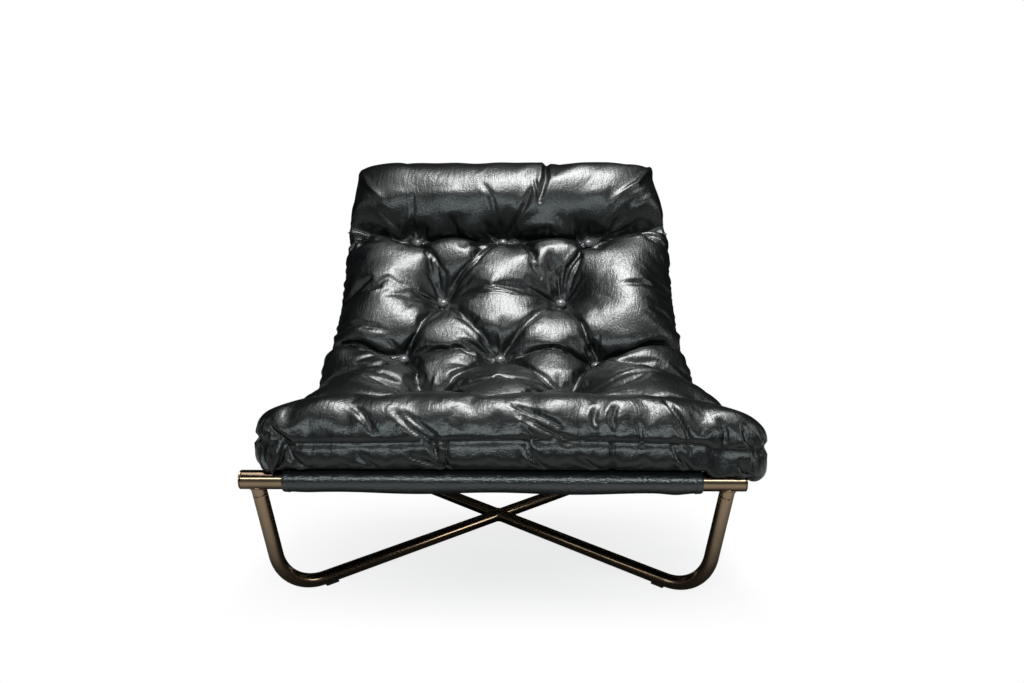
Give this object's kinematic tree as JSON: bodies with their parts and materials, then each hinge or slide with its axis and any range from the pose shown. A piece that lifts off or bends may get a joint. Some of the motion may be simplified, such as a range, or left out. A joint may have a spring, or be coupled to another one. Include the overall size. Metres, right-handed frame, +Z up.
{
  "type": "sling lounge chair",
  "caption": "Low lounge chair: a bent-tube cross base with front and back rails carries a leather sling and a button-tufted leather cushion.",
  "frame": {"origin": "on the floor, under the middle of the chair's box", "axes": "+Z up, -Y out of the seat's front, +X to the right of a viewer who faces the chair"},
  "size_m": [0.8626, 0.9512, 0.7502],
  "materials": {
    "bronze_tube": "polished dark bronze plating",
    "fixing_steel": "black oxide",
    "glide_plastic": "matt",
    "sling_leather": "semi-matt saddle leather",
    "cushion_leather": "soft semi-gloss leather",
    "filling": "soft wadding",
    "twine": "waxed"
  },
  "bodies": {
    "root": {"base_tube_through": "bronze_tube", "base_tube_front_half": "bronze_tube", "base_tube_back_half": "bronze_tube", "front_rail": "bronze_tube", "back_rail": "bronze_tube", "front_rail_cap_left": "bronze_tube", "front_rail_cap_right": "bronze_tube", "back_rail_cap_left": "bronze_tube", "back_rail_cap_right": "bronze_tube", "rail_stub_front_left": "bronze_tube", "rail_stub_front_right": "bronze_tube", "rail_stub_back_left": "bronze_tube", "rail_stub_back_right": "bronze_tube", "grub_screw_front_left": "fixing_steel", "grub_screw_front_right": "fixing_steel", "grub_screw_back_left": "fixing_steel", "grub_screw_back_right": "fixing_steel", "floor_glide_front_left": "glide_plastic", "floor_glide_front_right": "glide_plastic", "floor_glide_back_left": "glide_plastic", "floor_glide_back_right": "glide_plastic", "sling": "sling_leather", "cushion_top_cover": "cushion_leather", "cushion_bottom_cover": "cushion_leather", "cushion_front_border_left": "cushion_leather", "cushion_front_border_middle": "cushion_leather", "cushion_front_border_right": "cushion_leather", "cushion_filling": "filling", "tuft_button_head_left": "cushion_leather", "tuft_button_head_middle": "cushion_leather", "tuft_button_head_right": "cushion_leather", "tuft_button_upper_left": "cushion_leather", "tuft_button_upper_right": "cushion_leather", "tuft_button_middle_left": "cushion_leather", "tuft_button_middle_middle": "cushion_leather", "tuft_button_middle_right": "cushion_leather", "tuft_button_lower_left": "cushion_leather", "tuft_button_lower_right": "cushion_leather", "tuft_button_front_left": "cushion_leather", "tuft_button_front_middle": "cushion_leather", "tuft_button_front_right": "cushion_leather", "tuft_tie_head_left": "twine", "tuft_tie_head_middle": "twine", "tuft_tie_head_right": "twine", "tuft_tie_upper_left": "twine", "tuft_tie_upper_right": "twine", "tuft_tie_middle_left": "twine", "tuft_tie_middle_middle": "twine", "tuft_tie_middle_right": "twine", "tuft_tie_lower_left": "twine", "tuft_tie_lower_right": "twine", "tuft_tie_front_left": "twine", "tuft_tie_front_middle": "twine", "tuft_tie_front_right": "twine"}
  },
  "joints": []
}
